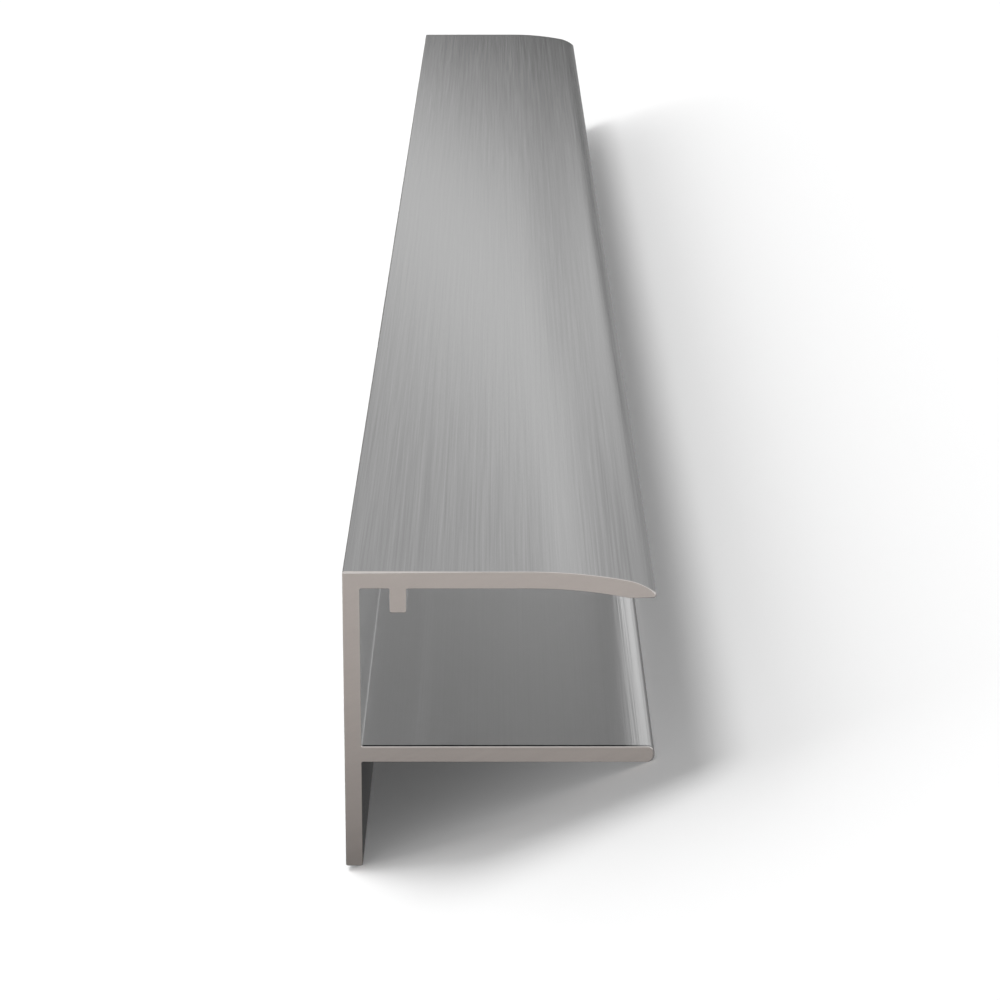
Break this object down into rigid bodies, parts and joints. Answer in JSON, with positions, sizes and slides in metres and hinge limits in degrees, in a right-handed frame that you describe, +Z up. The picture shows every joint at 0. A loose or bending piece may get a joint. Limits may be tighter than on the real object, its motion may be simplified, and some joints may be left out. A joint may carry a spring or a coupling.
{
  "type": "aluminium extrusion profile",
  "caption": "Aluminium F-section closing profile: web with a drip leg, flanges that form a sheet slot, a stop rib and a curved pinching lip, for the edge of multiwall sheet.",
  "frame": {"origin": "bottom centre of the box round the piece, as it lies on the drip edge and the lower flange's free edge", "axes": "+Y along the extrusion, +X towards the slot's mouth, +Z up"},
  "size_m": [0.038, 0.365, 0.0286],
  "materials": {
    "aluminium": "brushed along the length outside, mill finish inside the slot, sawn ends"
  },
  "bodies": {
    "root": {"aluminium_profile": "aluminium"}
  },
  "joints": []
}
